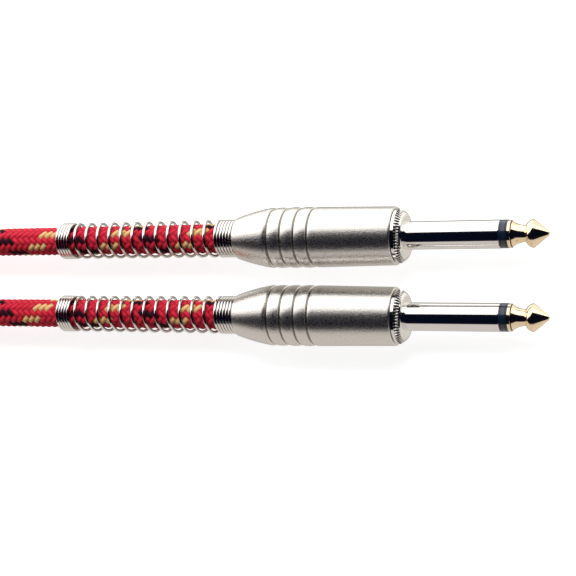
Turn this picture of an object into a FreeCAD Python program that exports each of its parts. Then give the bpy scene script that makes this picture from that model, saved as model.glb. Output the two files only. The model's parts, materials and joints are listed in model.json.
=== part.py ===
"""Instrument cable: two straight 6.35 mm phone plugs on one braided lead, put away as a tied hank.

The two plugs lie side by side along +X with their tips forward, and +Z is up. The origin is on the
surface they rest on, half way along a plug and half way between the two. Lengths are millimetres.
Inside a plug, stations are measured forward from the rear face of its barrel.
"""

import math
import os

import FreeCAD
import Part
import Sketcher
from FreeCAD import Placement, Rotation, Vector

doc = FreeCAD.newDocument("instrument_cable")
sheet = doc.addObject("Spreadsheet::Sheet", "Dims")

DIMENSIONS = {
    # where the plugs lie
    "plug_spacing": 18.0,
    "axis_height": 7.025,
    "barrel_rear_station": -12.6,
    # tip contact, a turned pin with a rod that runs back to the solder tag
    "tip_front": 73.1,
    "tip_nose_start": 72.8,
    "tip_nose_radius": 0.6,
    "tip_widest": 69.55,
    "tip_widest_radius": 3.1,
    "tip_neck": 67.2,
    "tip_neck_radius": 1.95,
    "tip_shoulder": 65.0,
    "tip_rear": 64.35,
    "tip_shoulder_radius": 3.0,
    "tip_shoulder_arc": 3.4,
    "tip_bulb_arc": 3.0,
    "rod_radius": 1.0,
    "rivet_rear": 31.1,
    "rivet_front": 31.6,
    "rivet_radius": 1.45,
    # insulators
    "ring_rear": 62.65,
    "ring_radius": 3.15,
    "insulator_bore": 1.05,
    "core_tube_rear": 32.8,
    "core_tube_radius": 1.8,
    "washer_rear": 32.1,
    "washer_radius": 3.3,
    # plug sleeve: shaft, flange with teeth on its chamfer, and threaded boss turned from one bar
    "shaft_radius": 3.175,
    "shaft_bore": 1.85,
    "flange_front": 41.65,
    "flange_foot_radius": 3.6,
    "flange_crease": 41.5,
    "flange_crease_radius": 4.6,
    "knurl_front": 41.1,
    "knurl_front_radius": 5.35,
    "knurl_rear": 40.05,
    "knurl_bottom_radius": 5.4,
    "knurl_half_width": 0.24,
    "knurl_teeth": 52.0,
    "flange_radius": 6.15,
    "flange_rear": 39.3,
    "boss_rear": 33.3,
    "boss_radius": 4.95,
    # barrel
    "barrel_front": 39.2,
    "barrel_front_chamfer": 0.2,
    "barrel_front_radius": 6.575,
    "barrel_taper_end": 21.2,
    "barrel_taper_radius": 6.9,
    "barrel_radius": 7.025,
    "ogive_front": 9.3,
    "ogive_arc": 22.4,
    "ogive_rear_radius": 5.05,
    "rear_chamfer": 0.15,
    "rear_face_radius": 4.8,
    "barrel_bore": 5.0,
    "lip_length": 4.2,
    "lip_radius": 4.62,
    "first_groove": 9.96,
    "groove_pitch": 3.3,
    "groove_count": 4.0,
    "groove_half_width": 0.45,
    "groove_depth": 0.5,
    # insulating sleeve that slides over the terminals
    "boot_rear": 6.6,
    "boot_front": 33.1,
    "boot_radius": 4.75,
    "boot_bore": 4.35,
    # terminals
    "lug_thickness": 0.5,
    "tip_lug_radius": 2.6,
    "tip_lug_rear": 31.6,
    "tip_tag_rear": 25.8,
    "tip_tag_half_width": 1.3,
    "tip_tag_top": -1.55,
    "ground_ring_radius": 4.2,
    "ground_strip_half_width": 1.5,
    "ground_strip_top": -3.4,
    "clamp_rear": 14.6,
    "clamp_front": 19.1,
    "clamp_bore": 3.45,
    "clamp_radius": 4.05,
    "clamp_mouth_half_width": 1.6,
    "clamp_mouth_top": 4.5,
    # solder joints, half ellipsoids on the tags
    "tip_solder_station": 28.9,
    "tip_solder_length": 1.7,
    "tip_solder_width": 1.15,
    "tip_solder_height": 1.25,
    "ground_solder_station": 23.9,
    "ground_solder_length": 1.6,
    "ground_solder_width": 1.3,
    "ground_solder_height": 1.45,
    # cable
    "cable_radius": 3.5,
    "cable_cut_station": 20.1,
    "cable_straight_end": -71.4,
    "core_radius": 1.6,
    "core_front": 24.8,
    "conductor_radius": 0.55,
    "conductor_bend_rear": 25.9,
    "conductor_bend_front": 27.3,
    "conductor_front": 30.4,
    "pigtail_radius": 0.8,
    "pigtail_front": 24.9,
    # strain relief spring
    "wire_radius": 0.35,
    "spring_radius": 4.15,
    "flare_radius": 4.5,
    "spring_front": 6.05,
    "flare_end": 4.7,
    "close_pitch": 0.76,
    "open_start": -3.9,
    "open_pitch": 3.2,
    "open_turns": 12.4,
    "spring_rear": -47.55,
    # hank and its tie
    "fold_near": -139.0,
    "fold_far": -201.5,
    "fold_inner_radius": 17.5,
    "fold_outer_radius": 31.5,
    "hank_height": 42.0,
    "hank_low_height": 35.4,
    "lead_relief": 7.2,
    "tie_relief": 1.3,
    "tie_width": 16.0,
    "tie_thickness": 1.2,
    "tie_top": 41.2,
    "tie_clearance": 0.2,
    "tie_centre": -170.25,
    "tie_seat_half_width": 8.5,
    # how far cutting shapes reach past what they cut
    "cut_margin": 0.05,
    "through_margin": 1.0,
}
SMALLEST_CUT = 1e-3  # mm3
SWEEP_ERROR = 0.01  # share of a sweep's volume
for row, (alias, value) in enumerate(DIMENSIONS.items(), start=1):
    sheet.set(f"A{row}", alias)
    sheet.set(f"B{row}", str(value))
    sheet.setAlias(f"B{row}", alias)
doc.recompute()


def size(alias):
    """The value of one cell of the sheet."""
    return float(sheet.get(alias))


def cell(text):
    """An expression over sheet aliases, with each alias given its sheet's name."""
    words = text.replace("(", " ( ").replace(")", " ) ").split()
    return " ".join(f"Dims.{word}" if word[0].isalpha() else word for word in words)


def bind(thing, **texts):
    """Bind properties of an object to expressions over sheet aliases."""
    for name, text in texts.items():
        thing.setExpression(name.replace("__", "."), cell(text))


def plug_place(side, station=0.0, height=0.0):
    """The place of a station on the axis of the plug at side (+1 or -1)."""
    along = size("barrel_rear_station") + station
    across = side * size("plug_spacing") / 2
    return Placement(Vector(along, across, size("axis_height") + height), Rotation())


def along_x(place):
    """The same place with the local Z axis turned to point along +X."""
    return Placement(place.Base, Rotation(Vector(0, 1, 0), 90))


# ---- sketched and turned pieces ----


def origin_plane(body, role):
    """One of the body's own origin planes or axes."""
    return next(f for f in body.Origin.OriginFeatures if f.Role == role)


def arc_between(start, end, radius):
    """The shorter arc from start to end. A positive radius bulges to the left of the way it runs."""
    chord = end - start
    half = chord.Length / 2
    sag = abs(radius) - math.sqrt(radius * radius - half * half)
    left = Vector(-chord.y, chord.x, 0).normalize() * math.copysign(sag, radius)
    return Part.Arc(start, start + chord / 2 + left, end)


def draw_outline(sketch, corners):
    """Draw a closed outline of (x, y[, arc radius to the next corner]) expressions and bind each corner."""
    value = sketch.evalExpression
    points = [Vector(float(value(cell(c[0]))), float(value(cell(c[1]))), 0) for c in corners]
    ends = []
    for index, corner in enumerate(corners):
        start, end = points[index], points[(index + 1) % len(points)]
        radius = float(value(cell(corner[2]))) if len(corner) > 2 else 0.0
        edge = arc_between(start, end, radius) if radius else Part.LineSegment(start, end)
        edge_id = sketch.addGeometry(edge, False)
        forward = sketch.getPoint(edge_id, 1).distanceToPoint(start) < 1e-6
        ends.append((1, 2) if forward else (2, 1))
        if radius:
            bound = sketch.addConstraint(Sketcher.Constraint("Radius", edge_id, abs(radius)))
            sketch.setExpression(f"Constraints[{bound}]", f"abs({cell(corner[2])})")
    for index, corner in enumerate(corners):
        before = index - 1 if index else len(corners) - 1
        sketch.addConstraint(
            Sketcher.Constraint("Coincident", before, ends[before][1], index, ends[index][0])
        )
        for kind, text in (("DistanceX", corner[0]), ("DistanceY", corner[1])):
            start = points[index].x if kind == "DistanceX" else points[index].y
            bound = sketch.addConstraint(
                Sketcher.Constraint(kind, -1, 1, index, ends[index][0], start)
            )
            sketch.setExpression(f"Constraints[{bound}]", cell(text))


def new_sketch(body, role, name, corners):
    """A sketch of one closed outline on an origin plane of the body."""
    sketch = body.newObject("Sketcher::SketchObject", name)
    sketch.AttachmentSupport = [(origin_plane(body, role), "")]
    sketch.MapMode = "FlatFace"
    draw_outline(sketch, corners)
    return sketch


def turned(name, place, corners):
    """A body turned about the X axis from an outline of (station, radius) corners."""
    body = doc.addObject("PartDesign::Body", name)
    body.Label = name
    outline = new_sketch(body, "XY_Plane", f"{name}_outline", corners)
    turn = body.newObject("PartDesign::Revolution", f"{name}_turn")
    turn.Profile = outline
    turn.ReferenceAxis = (outline, ["H_Axis"])
    turn.Angle = 360.0
    body.Placement = place
    doc.recompute()
    return body


def tube(name, place, rear, front, bore, radius):
    """A turned tube or washer between two stations."""
    return turned(name, place, [(rear, bore), (front, bore), (front, radius), (rear, radius)])


def check_cut(body, before, what):
    """Stop if a cutting feature took nothing away."""
    doc.recompute()
    if body.Shape.Volume > before - SMALLEST_CUT:
        raise RuntimeError(f"{body.Label}: {what} cut nothing")


def make_tip_contact(name, place):
    """The tip, its neck and the rod behind it, with its end riveted over the solder tag."""
    return turned(name, place, [
        ("rivet_rear", "0"),
        ("rivet_rear", "rivet_radius"),
        ("rivet_front", "rivet_radius"),
        ("rivet_front", "rod_radius"),
        ("tip_rear", "rod_radius"),
        ("tip_rear", "tip_shoulder_radius"),
        ("tip_shoulder", "tip_shoulder_radius", "-1 * tip_shoulder_arc"),
        ("tip_neck", "tip_neck_radius", "tip_bulb_arc"),
        ("tip_widest", "tip_widest_radius"),
        ("tip_nose_start", "tip_nose_radius"),
        ("tip_front", "0"),
    ])


def make_plug_sleeve(name, place):
    """The shaft, the flange with its toothed chamfer and the boss that the barrel screws onto."""
    body = turned(name, place, [
        ("boss_rear", "shaft_bore"),
        ("boss_rear", "boss_radius"),
        ("flange_rear", "boss_radius"),
        ("flange_rear", "flange_radius"),
        ("knurl_rear", "flange_radius"),
        ("knurl_front", "knurl_front_radius"),
        ("flange_crease", "flange_crease_radius"),
        ("flange_front", "flange_foot_radius"),
        ("flange_front", "shaft_radius"),
        ("ring_rear", "shaft_radius"),
        ("ring_rear", "shaft_bore"),
    ])
    before = body.Shape.Volume
    notch = new_sketch(body, "YZ_Plane", f"{name}_notch", [
        ("-1 * knurl_half_width", "flange_radius + cut_margin"),
        ("0", "knurl_bottom_radius"),
        ("knurl_half_width", "flange_radius + cut_margin"),
    ])
    bind(notch, AttachmentOffset__Base__z="knurl_rear")
    cut = body.newObject("PartDesign::Pocket", f"{name}_tooth_gap")
    cut.Profile = notch
    cut.Reversed = True
    bind(cut, Length="knurl_front - knurl_rear")
    check_cut(body, before, "the first tooth gap")
    knurl = body.newObject("PartDesign::PolarPattern", f"{name}_knurl")
    knurl.Originals = [cut]
    knurl.Axis = (origin_plane(body, "X_Axis"), [""])
    knurl.Angle = 360.0
    bind(knurl, Occurrences="knurl_teeth")
    body.Tip = knurl
    doc.recompute()
    return body


def make_barrel(name, place):
    """The screwed barrel: tapered front, ringed waist and an ogive that ends in a lip for the spring."""
    body = turned(name, place, [
        ("0", "lip_radius"),
        ("0", "rear_face_radius"),
        ("rear_chamfer", "ogive_rear_radius", "ogive_arc"),
        ("ogive_front", "barrel_radius"),
        ("barrel_taper_end", "barrel_radius"),
        ("barrel_taper_end", "barrel_taper_radius"),
        ("barrel_front - barrel_front_chamfer", "barrel_front_radius"),
        ("barrel_front", "barrel_front_radius - barrel_front_chamfer"),
        ("barrel_front", "barrel_bore"),
        ("lip_length", "barrel_bore"),
        ("lip_length", "lip_radius"),
    ])
    before = body.Shape.Volume
    groove_outline = new_sketch(body, "XY_Plane", f"{name}_groove_outline", [
        ("first_groove - groove_half_width", "barrel_radius + cut_margin"),
        ("first_groove", "barrel_radius - groove_depth"),
        ("first_groove + groove_half_width", "barrel_radius + cut_margin"),
    ])
    groove = body.newObject("PartDesign::Groove", f"{name}_groove")
    groove.Profile = groove_outline
    groove.ReferenceAxis = (groove_outline, ["H_Axis"])
    groove.Angle = 360.0
    check_cut(body, before, "the first groove")
    rings = body.newObject("PartDesign::LinearPattern", f"{name}_rings")
    rings.Originals = [groove]
    rings.Direction = (origin_plane(body, "X_Axis"), [""])
    bind(rings, Length="groove_pitch * ( groove_count - 1 )", Occurrences="groove_count")
    body.Tip = rings
    doc.recompute()
    return body


# ---- terminals and small inner pieces ----


def cylinder(name, place, radius, length):
    """A cylinder along +X, bound to the sheet."""
    solid = doc.addObject("Part::Cylinder", name)
    bind(solid, Radius=radius, Height=length)
    solid.Placement = along_x(place)
    return solid


def plate(name, side, rear, front, half_width, top, thickness):
    """A flat strip between two stations whose top face is at a height above the plug's axis."""
    solid = doc.addObject("Part::Box", name)
    bind(solid, Length=f"{front} - {rear}", Width=f"2 * {half_width}", Height=thickness)
    place = plug_place(side, size(rear), size(top) - size(thickness))
    place.Base.y -= size(half_width)
    solid.Placement = place
    return solid


def combine(kind, name, first, second):
    """A Part boolean of two objects."""
    made = doc.addObject(f"Part::{kind}", name)
    made.Base, made.Tool = first, second
    made.Label = name
    return made


def make_tip_lug(name, side):
    """The tip's solder tag: an eyelet on the rod and a tongue to the rear."""
    rear, margin = size("tip_lug_rear"), size("through_margin")
    disc = cylinder(f"{name}_disc", plug_place(side, rear), "tip_lug_radius", "lug_thickness")
    tongue = plate(f"{name}_tongue", side, "tip_tag_rear", "washer_rear",
                   "tip_tag_half_width", "tip_tag_top", "lug_thickness")
    blank = combine("Fuse", f"{name}_blank", disc, tongue)
    hole = cylinder(f"{name}_hole", plug_place(side, rear - margin), "insulator_bore",
                    "lug_thickness + 2 * through_margin")
    return combine("Cut", name, blank, hole)


def make_ground_lug(name, side):
    """The ground terminal: a ring on the boss, a strip to the rear and a clamp around the jacket."""
    rear, clamp_rear, margin = size("core_tube_rear"), size("clamp_rear"), size("through_margin")
    ring = cylinder(f"{name}_ring", plug_place(side, rear), "ground_ring_radius", "lug_thickness")
    hole = cylinder(f"{name}_hole", plug_place(side, rear - margin), "shaft_bore",
                    "lug_thickness + 2 * through_margin")
    strip = plate(f"{name}_strip", side, "clamp_front", "boss_rear",
                  "ground_strip_half_width", "ground_strip_top", "lug_thickness")
    clamp = cylinder(f"{name}_clamp", plug_place(side, clamp_rear), "clamp_radius",
                     "clamp_front - clamp_rear")
    grip = cylinder(f"{name}_grip", plug_place(side, clamp_rear - margin), "clamp_bore",
                    "clamp_front - clamp_rear + 2 * through_margin")
    mouth = plate(f"{name}_mouth", side, "clamp_rear", "clamp_front", "clamp_mouth_half_width",
                  "clamp_mouth_top", "clamp_mouth_top")
    eyelet = combine("Cut", f"{name}_eyelet", ring, hole)
    shell = combine("Cut", f"{name}_shell", clamp, grip)
    wings = combine("Cut", f"{name}_wings", shell, mouth)
    tongue = plate(f"{name}_tongue", side, "clamp_rear", "clamp_front",
                   "ground_strip_half_width", "ground_strip_top", "lug_thickness")
    floor_grip = cylinder(f"{name}_floor_grip", plug_place(side, clamp_rear - margin), "clamp_bore",
                          "clamp_front - clamp_rear + 2 * through_margin")
    floor = combine("Cut", f"{name}_floor", tongue, floor_grip)
    strap = combine("Fuse", f"{name}_strap", strip, floor)
    frame = combine("Fuse", f"{name}_frame", eyelet, strap)
    return combine("Fuse", name, frame, wings)


def make_solder(name, side, joint, top):
    """A solder joint: the upper half of an ellipsoid on a tag."""
    blob = doc.addObject("Part::Ellipsoid", name)
    blob.Label = name
    bind(blob, Radius1=f"{joint}_height", Radius2=f"{joint}_length", Radius3=f"{joint}_width")
    blob.Angle1, blob.Angle2 = 0.0, 90.0
    blob.Placement = plug_place(side, size(f"{joint}_station"), size(top))
    return blob


def plain_cylinder(name, side, rear, front, radius, height=0.0):
    """A labelled cylinder between two stations."""
    solid = cylinder(name, plug_place(side, size(rear), height), radius, f"{front} - {rear}")
    solid.Label = name
    return solid


# ---- swept pieces ----


def swept(name, path, radius):
    """A round bar of a radius along a wire, checked against its section times its length."""
    edge = path.Edges[0]
    start = edge.valueAt(edge.FirstParameter)
    heading = edge.tangentAt(edge.FirstParameter)
    section = Part.Wire([Part.Circle(start, heading, radius).toShape()])
    bar = path.makePipeShell([section], True, True)
    wanted = math.pi * radius * radius * path.Length
    if not bar.isValid() or abs(bar.Volume - wanted) > SWEEP_ERROR * wanted:
        raise RuntimeError(f"{name}: the sweep is wrong, {bar.Volume:.1f} for {wanted:.1f} mm3")
    feature = doc.addObject("Part::Feature", name)
    feature.Label = name
    feature.Shape = bar
    return feature


def rounded_route(name, points, rounding=0.45):
    """Straight runs through the points joined by tangent arcs as large as their runs allow."""
    edges, radii, at = [], [], points[0]
    for before, corner, after in zip(points, points[1:], points[2:]):
        back, ahead = before - corner, after - corner
        turn = math.pi - back.getAngle(ahead)
        trim = rounding * min(back.Length, ahead.Length)
        radii.append(trim / math.tan(turn / 2))
        back.normalize()
        ahead.normalize()
        start, end = corner + back * trim, corner + ahead * trim
        bisector = (back + ahead).normalize()
        centre_distance = math.hypot(trim, radii[-1])
        middle = corner + bisector * (centre_distance - radii[-1])
        edges += [Part.LineSegment(at, start), Part.Arc(start, middle, end)]
        at = end
    edges.append(Part.LineSegment(at, points[-1]))
    print(f"{name}: radii", " ".join(f"{radius:.1f}" for radius in radii), "mm")
    return Part.Wire([edge.toShape() for edge in edges])


def smooth_step(value, start, end):
    """0 before start, 1 after end and a smooth rise between them."""
    share = min(max((value - start) / (end - start), 0.0), 1.0)
    return share * share * (3 - 2 * share)


def make_spring(name, side):
    """The strain relief: close turns with a flare in the barrel, open turns, and a close-wound end."""
    points_per_turn = 12
    blend = 0.6  # turns over which the pitch changes
    close, opened = size("close_pitch"), size("open_pitch")
    close_turns = (size("spring_front") - size("open_start")) / close
    flare_turns = (size("spring_front") - size("flare_end")) / close
    open_end = close_turns + size("open_turns")
    points, turns, station = [], 0.0, size("spring_front")
    while station > size("spring_rear"):
        angle = 2 * math.pi * turns
        radius = size("flare_radius") + smooth_step(turns, flare_turns, flare_turns + blend) * (
            size("spring_radius") - size("flare_radius"))
        points.append(Vector(station, -radius * math.cos(angle), radius * math.sin(angle)))
        openness = smooth_step(turns, close_turns, close_turns + blend) * (
            1 - smooth_step(turns, open_end, open_end + blend))
        station -= (close + (opened - close) * openness) / points_per_turn
        turns += 1 / points_per_turn
    helix = Part.BSplineCurve()
    helix.interpolate(points)
    spring = swept(name, Part.Wire([helix.toShape()]), size("wire_radius"))
    spring.Placement = plug_place(side)
    return spring


def make_centre_conductor(name, side):
    """The stripped end of the core, bent down onto the tip's tag."""
    low = size("tip_tag_top") + size("conductor_radius")
    route = [Vector(size("core_front"), 0, 0), Vector(size("conductor_bend_rear"), 0, 0),
             Vector(size("conductor_bend_front"), 0, low), Vector(size("conductor_front"), 0, low)]
    wire = swept(name, rounded_route(name, route), size("conductor_radius"))
    wire.Placement = plug_place(side)
    return wire


# The free cable from the straight stretch behind each spring to the hank, as hand-laid points.
LEAD_ROUTES = {
    "cable_lead_1": [
        (-84.0, 9.0, 7.025), (-92.0, 9.0, 7.025), (-100.0, 10.2, 6.0), (-107.8, 12.7, 4.5),
        (-115.0, 16.4, 3.5), (-122.6, 19.4, 3.5), (-131.0, 21.0, 3.5), (-139.0, 21.0, 3.5),
    ],
    "cable_lead_2": [
        (-84.0, -9.0, 7.025), (-91.5, -9.0, 7.025), (-98.4, -10.2, 6.2), (-104.7, -12.6, 4.9),
        (-110.3, -16.2, 3.8), (-114.8, -20.7, 3.5), (-120.2, -24.3, 3.5), (-126.4, -26.8, 3.5),
        (-133.0, -28.0, 3.5), (-139.0, -28.0, 3.5),
    ],
}


def make_lead(name):
    """One free stretch of cable, from its plug to the hank."""
    route = [Vector(*point) for point in LEAD_ROUTES[name]]
    return swept(name, rounded_route(name, route), size("cable_radius"))


# ---- hank and tie ----


def slot_outline(body, name, radius):
    """A sketch of a slot between the two fold centres, rounded at both ends."""
    low = f"-1 * {radius}"
    return new_sketch(body, "XY_Plane", name, [
        ("fold_far", low),
        ("fold_near", low, low),
        (f"fold_near + {radius}", "0", low),
        ("fold_near", radius),
        ("fold_far", radius, low),
        (f"fold_far - {radius}", "0", low),
    ])


def rectangle(body, name, first, second):
    """A sketch of a rectangle on the floor plane between two opposite corners."""
    (left, low), (right, high) = first, second
    return new_sketch(body, "XY_Plane", name, [(left, low), (right, low), (right, high), (left, high)])


def make_hank(name):
    """The outer shape of the wound cable, open in the middle and raised where the leads pass under."""
    body = doc.addObject("PartDesign::Body", name)
    body.Label = name
    pad = body.newObject("PartDesign::Pad", f"{name}_pad")
    pad.Profile = slot_outline(body, f"{name}_outside", "fold_outer_radius")
    bind(pad, Length="hank_height")
    doc.recompute()
    beyond = "fold_outer_radius + through_margin"
    within = "fold_inner_radius - through_margin"
    cuts = [
        ("channel", slot_outline(body, f"{name}_channel", "fold_inner_radius"), "hank_height"),
        ("lead_gap", rectangle(body, f"{name}_lead_gap", ("fold_near", f"-1 * ( {beyond} )"),
                               (f"fold_near + {beyond}", beyond)), "lead_relief"),
        ("tie_seat", rectangle(body, f"{name}_tie_seat",
                               ("tie_centre - tie_seat_half_width", f"-1 * ( {beyond} )"),
                               ("tie_centre + tie_seat_half_width", f"-1 * ( {within} )")),
         "tie_relief"),
    ]
    for what, outline, depth in cuts:
        before = body.Shape.Volume
        pocket = body.newObject("PartDesign::Pocket", f"{name}_{what}_cut")
        pocket.Profile = outline
        pocket.Reversed = True
        bind(pocket, Length=depth)
        check_cut(body, before, what)
    before = body.Shape.Volume
    slope = body.newObject("PartDesign::Pocket", f"{name}_slope_cut")
    slope.Profile = new_sketch(body, "XZ_Plane", f"{name}_slope", [
        ("fold_near", "hank_height"),
        ("fold_far", "hank_low_height"),
        (f"fold_far - ( {beyond} )", "hank_low_height"),
        (f"fold_far - ( {beyond} )", "hank_height + through_margin"),
        ("fold_near", "hank_height + through_margin"),
    ])
    slope.Midplane = True
    bind(slope, Length=f"2 * ( {beyond} )")
    check_cut(body, before, "the slope")
    return body


def make_tie(name):
    """The strap around one side of the hank, half way along it."""
    body = doc.addObject("PartDesign::Body", name)
    body.Label = name
    outside = new_sketch(body, "YZ_Plane", f"{name}_outside", [
        ("-1 * fold_outer_radius - tie_clearance - tie_thickness", "0"),
        ("-1 * fold_inner_radius + tie_clearance + tie_thickness", "0"),
        ("-1 * fold_inner_radius + tie_clearance + tie_thickness", "tie_top"),
        ("-1 * fold_outer_radius - tie_clearance - tie_thickness", "tie_top"),
    ])
    pad = body.newObject("PartDesign::Pad", f"{name}_pad")
    pad.Profile = outside
    pad.Midplane = True
    bind(pad, Length="tie_width")
    doc.recompute()
    before = body.Shape.Volume
    inside = new_sketch(body, "YZ_Plane", f"{name}_inside", [
        ("-1 * fold_outer_radius - tie_clearance", "tie_thickness"),
        ("-1 * fold_inner_radius + tie_clearance", "tie_thickness"),
        ("-1 * fold_inner_radius + tie_clearance", "tie_top - tie_thickness"),
        ("-1 * fold_outer_radius - tie_clearance", "tie_top - tie_thickness"),
    ])
    window = body.newObject("PartDesign::Pocket", f"{name}_window")
    window.Profile = inside
    window.Midplane = True
    bind(window, Length="tie_width + 2 * through_margin")
    check_cut(body, before, "the window")
    body.Placement = Placement(Vector(size("tie_centre"), 0, 0), Rotation())
    return body


# ---- the assembly ----


def make_plug(number, side):
    """Every piece of one plug and of the straight cable end in it."""
    place = plug_place(side)
    strip_top = size("ground_strip_top")
    return [
        make_tip_contact(f"tip_contact_{number}", place),
        tube(f"tip_insulator_{number}", place, "ring_rear", "tip_rear", "insulator_bore", "ring_radius"),
        tube(f"core_insulator_{number}", place, "core_tube_rear", "ring_rear", "insulator_bore",
             "core_tube_radius"),
        make_plug_sleeve(f"plug_sleeve_{number}", place),
        tube(f"rear_washer_{number}", place, "washer_rear", "core_tube_rear", "insulator_bore",
             "washer_radius"),
        make_tip_lug(f"tip_lug_{number}", side),
        make_ground_lug(f"ground_lug_{number}", side),
        make_solder(f"tip_solder_{number}", side, "tip_solder", "tip_tag_top"),
        make_solder(f"ground_solder_{number}", side, "ground_solder", "ground_strip_top"),
        tube(f"insulating_sleeve_{number}", place, "boot_rear", "boot_front", "boot_bore", "boot_radius"),
        make_barrel(f"barrel_{number}", place),
        make_spring(f"relief_spring_{number}", side),
        make_centre_conductor(f"centre_conductor_{number}", side),
        plain_cylinder(f"cable_core_{number}", side, "cable_cut_station", "core_front", "core_radius"),
        plain_cylinder(f"shield_pigtail_{number}", side, "cable_cut_station", "pigtail_front",
                       "pigtail_radius", strip_top + size("pigtail_radius")),
        plain_cylinder(f"cable_end_{number}", side, "cable_straight_end", "cable_cut_station",
                       "cable_radius"),
        make_lead(f"cable_lead_{number}"),
    ]


pieces = make_plug(1, 1) + make_plug(2, -1) + [make_hank("cable_hank"), make_tie("cable_tie")]
doc.recompute()

for thing in doc.Objects:
    if "Invalid" in thing.State or "Error" in thing.State:
        raise RuntimeError(f"{thing.Label}: {thing.State}")
os.makedirs("parts", exist_ok=True)
for piece in pieces:
    shape = piece.Shape
    if shape.isNull() or not shape.isValid() or not shape.Solids:
        raise RuntimeError(f"{piece.Label}: no valid solid")
    shape.exportStep(f"parts/{piece.Label}.step")
    box = shape.BoundBox
    print(f"{piece.Label}: {len(shape.Solids)} solid, {shape.Volume:.1f} mm3, "
          f"x {box.XMin:.2f}..{box.XMax:.2f}, y {box.YMin:.2f}..{box.YMax:.2f}, "
          f"z {box.ZMin:.2f}..{box.ZMax:.2f}")
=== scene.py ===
"""Looks of the instrument cable: two phone plugs with spring strain reliefs on one braided cable.

Blender works in metres. Profiles and routes are written in millimetres, as in the CAD model, and scaled.
Inside a plug, stations are measured forward from the rear face of its barrel.
"""

import json
import math

import bpy
import numpy as np
from mathutils import Matrix, Vector


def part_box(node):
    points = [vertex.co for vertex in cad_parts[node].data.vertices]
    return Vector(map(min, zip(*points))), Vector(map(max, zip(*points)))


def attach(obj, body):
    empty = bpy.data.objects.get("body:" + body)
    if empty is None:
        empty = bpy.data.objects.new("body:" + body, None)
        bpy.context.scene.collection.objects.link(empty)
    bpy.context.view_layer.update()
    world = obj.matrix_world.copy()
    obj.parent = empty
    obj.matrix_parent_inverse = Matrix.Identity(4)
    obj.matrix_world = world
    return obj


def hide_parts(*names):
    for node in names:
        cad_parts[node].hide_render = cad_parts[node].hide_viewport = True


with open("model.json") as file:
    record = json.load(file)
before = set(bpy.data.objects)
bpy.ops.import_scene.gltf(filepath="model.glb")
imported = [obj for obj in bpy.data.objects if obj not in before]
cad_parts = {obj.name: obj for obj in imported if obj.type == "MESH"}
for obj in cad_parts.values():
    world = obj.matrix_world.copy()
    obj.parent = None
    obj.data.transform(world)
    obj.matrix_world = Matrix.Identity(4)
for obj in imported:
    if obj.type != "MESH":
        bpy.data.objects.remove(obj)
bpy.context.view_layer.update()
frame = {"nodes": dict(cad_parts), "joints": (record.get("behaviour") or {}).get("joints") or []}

MM = 0.001
PLUGS = (1, 2)
JOINTS = {joint["name"]: joint for joint in frame["joints"]}
AXIS = {n: Vector(JOINTS[f"barrel_turn_{n}"]["pos_m"]) for n in PLUGS}
BARREL_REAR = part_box("barrel_1")[0].x
CABLE_DIAMETER = 7.0 * MM
GROOVES = 4  # around each barrel
FIRST_GROOVE, GROOVE_PITCH = 9.96, 3.3
COLLAR_FRONT = 65.06  # of the tip's collar
KNURL_TEETH = 52  # around each flange
KNURL_REAR, KNURL_FRONT = 40.05, 41.1


# ---- camera ----

VIEW_TILT = math.radians(22.5)  # the plugs' axes lean out of the view's plane, tips nearer
VIEW_DISTANCE = 0.289
LENS, SENSOR = 78.125, 36.0
VIEW_TARGET = Vector((0.0002, -0.00267, AXIS[1].z))


def make_camera():
    """A long lens above the plugs, square to their width and tilted along their length."""
    right = Vector((math.cos(VIEW_TILT), 0, -math.sin(VIEW_TILT)))
    up = Vector((0, 1, 0))
    back = right.cross(up)
    data = bpy.data.cameras.new("camera")
    data.sensor_width = SENSOR
    data.lens = LENS
    data.clip_start = 0.01
    camera = bpy.data.objects.new("camera", data)
    turn = Matrix((right, up, back)).transposed().to_4x4()
    camera.matrix_world = Matrix.Translation(VIEW_TARGET + back * VIEW_DISTANCE) @ turn
    bpy.context.scene.collection.objects.link(camera)
    bpy.context.scene.camera = camera


make_camera()


# ---- mesh helpers ----


def add_mesh(name, points, faces, material, body, sharp=40):
    """A smooth-shaded mesh piece from points in metres that rides on a body."""
    mesh = bpy.data.meshes.new(name)
    mesh.from_pydata([tuple(p) for p in points], [], faces)
    mesh.validate()
    mesh.shade_smooth()
    mesh.set_sharp_from_angle(angle=math.radians(sharp))
    mesh.materials.append(material)
    piece = bpy.data.objects.new(name, mesh)
    bpy.context.scene.collection.objects.link(piece)
    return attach(piece, body)


def lay_uvs(mesh, uvs, wraps=True):
    """Give each face corner its point's UV. Where the map wraps, faces at the seam run past one turn."""
    layer = mesh.uv_layers.new(name="map")
    corner_point = np.zeros(len(mesh.loops), np.int32)
    mesh.loops.foreach_get("vertex_index", corner_point)
    corner_uv = uvs[corner_point]
    if wraps:
        starts = np.zeros(len(mesh.polygons), np.int32)
        mesh.polygons.foreach_get("loop_start", starts)
        face_of = np.repeat(np.arange(len(starts)), np.diff(np.append(starts, len(corner_point))))
        highest = np.full(len(starts), -np.inf)
        np.maximum.at(highest, face_of, corner_uv[:, 0])
        corner_uv[:, 0] += corner_uv[:, 0] < highest[face_of] - 0.5
    layer.data.foreach_set("uv", corner_uv.astype(np.float32).ravel())


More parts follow.
